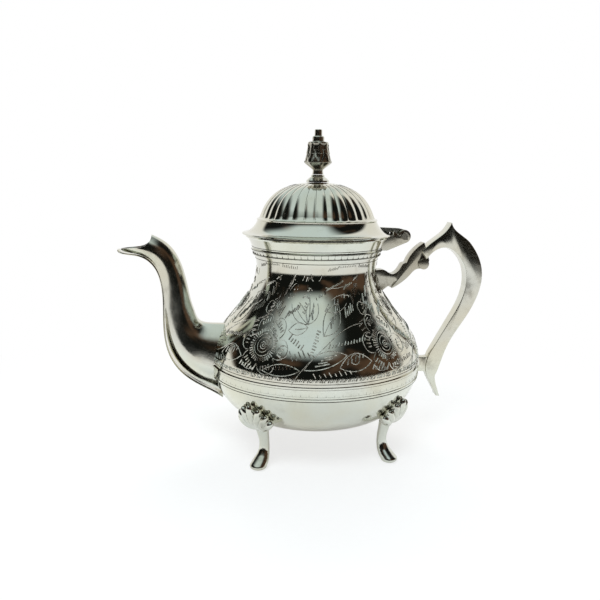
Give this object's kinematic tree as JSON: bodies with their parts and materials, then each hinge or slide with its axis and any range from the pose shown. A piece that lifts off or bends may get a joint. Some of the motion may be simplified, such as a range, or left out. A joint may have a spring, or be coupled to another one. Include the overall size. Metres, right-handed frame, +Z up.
{
  "type": "footed teapot",
  "caption": "Pear-shaped plated brass teapot with a curved spout, scrolled handle, cast shell feet and a fluted domed lid hinged at the handle.",
  "frame": {"origin": "middle of the pot's bounding box at the level of the surface it stands on, under the feet", "axes": "+Z up, +X towards the handle, the spout points to -X, +Y to the right of the handle seen from the spout"},
  "size_m": [0.215, 0.1252, 0.1862],
  "materials": {
    "plated_sheet": "polished silver plate on sheet brass, engraved on the upper shell",
    "plated_casting": "polished silver plate on cast brass",
    "darkened_casting": "silver plate on cast brass, darkened in its recesses",
    "plain_brass": "plain turned brass"
  },
  "bodies": {
    "pot": {"body_upper": "plated_sheet", "body_lower": "plated_sheet", "rim_wire": "plated_sheet", "neck_band": "plated_sheet", "belly_band": "plated_sheet", "spout_half_left": "plated_casting", "spout_half_right": "plated_casting", "handle_grip": "plated_casting", "handle_upper_bracket": "plated_casting", "handle_lower_bracket": "plated_casting", "hinge_bracket": "darkened_casting", "hinge_pin": "darkened_casting", "foot_front_left": "plated_casting", "foot_front_right": "plated_casting", "foot_rear_right": "plated_casting", "foot_rear_left": "plated_casting"},
    "lid": {"lid_shell": "plated_sheet", "lid_bezel": "plated_sheet", "hinge_tongue": "plated_sheet", "finial_foot": "plated_casting", "finial": "darkened_casting", "finial_washer": "plain_brass", "finial_nut": "plain_brass"}
  },
  "joints": [
    {"name": "lid_hinge", "type": "hinge", "parent": "pot", "child": "lid", "pos_m": [0.05705, 0, 0.1263], "axis": [0, 1, 0], "range_deg": [0, 105]}
  ]
}
